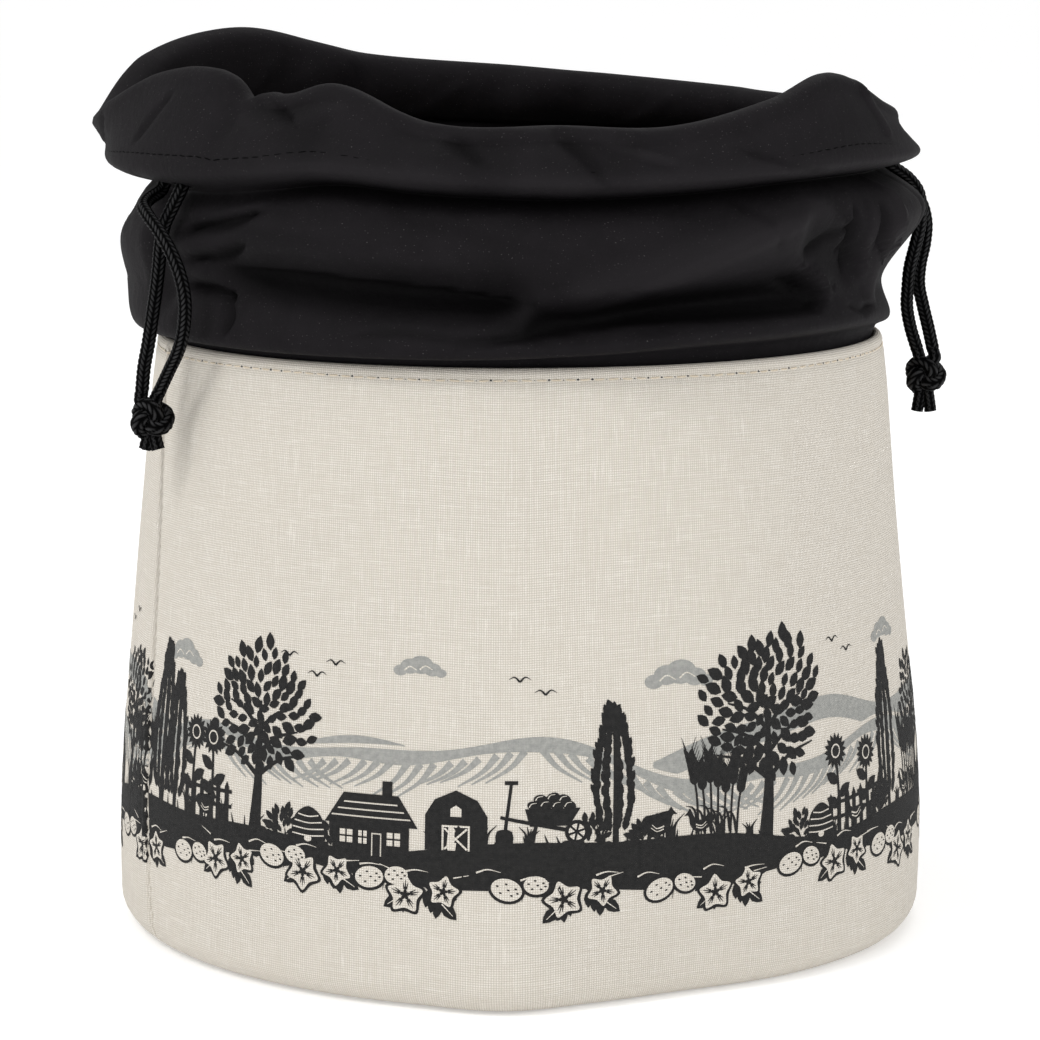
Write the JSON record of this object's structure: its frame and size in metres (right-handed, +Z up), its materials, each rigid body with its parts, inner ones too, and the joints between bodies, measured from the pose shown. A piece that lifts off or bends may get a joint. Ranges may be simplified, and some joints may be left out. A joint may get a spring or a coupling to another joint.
{
  "type": "potato storage bag",
  "caption": "Round canvas storage bag with a soft black drawstring collar, open at the top, standing on a flat base.",
  "frame": {"origin": "centre of the base's underside, on the surface that the bag stands on", "axes": "+Z up out of the open mouth, -Y towards the front, +X to the right seen from the front"},
  "size_m": [0.2153, 0.2076, 0.222],
  "materials": {
    "canvas": "plain woven cream cotton canvas",
    "black_cloth": "smooth black woven cloth with a faint sheen",
    "black_cord": "braided black cord",
    "print": "matt black and grey textile print",
    "thread": "beige sewing thread"
  },
  "bodies": {
    "root": {"canvas_wall": "canvas", "canvas_base": "canvas", "collar": "black_cloth", "drawcord_front": "black_cord", "drawcord_back": "black_cord", "cord_left_front": "black_cord", "cord_left_back": "black_cord", "cord_right_front": "black_cord", "cord_right_back": "black_cord", "knot_left": "black_cord", "knot_right": "black_cord"}
  },
  "joints": []
}
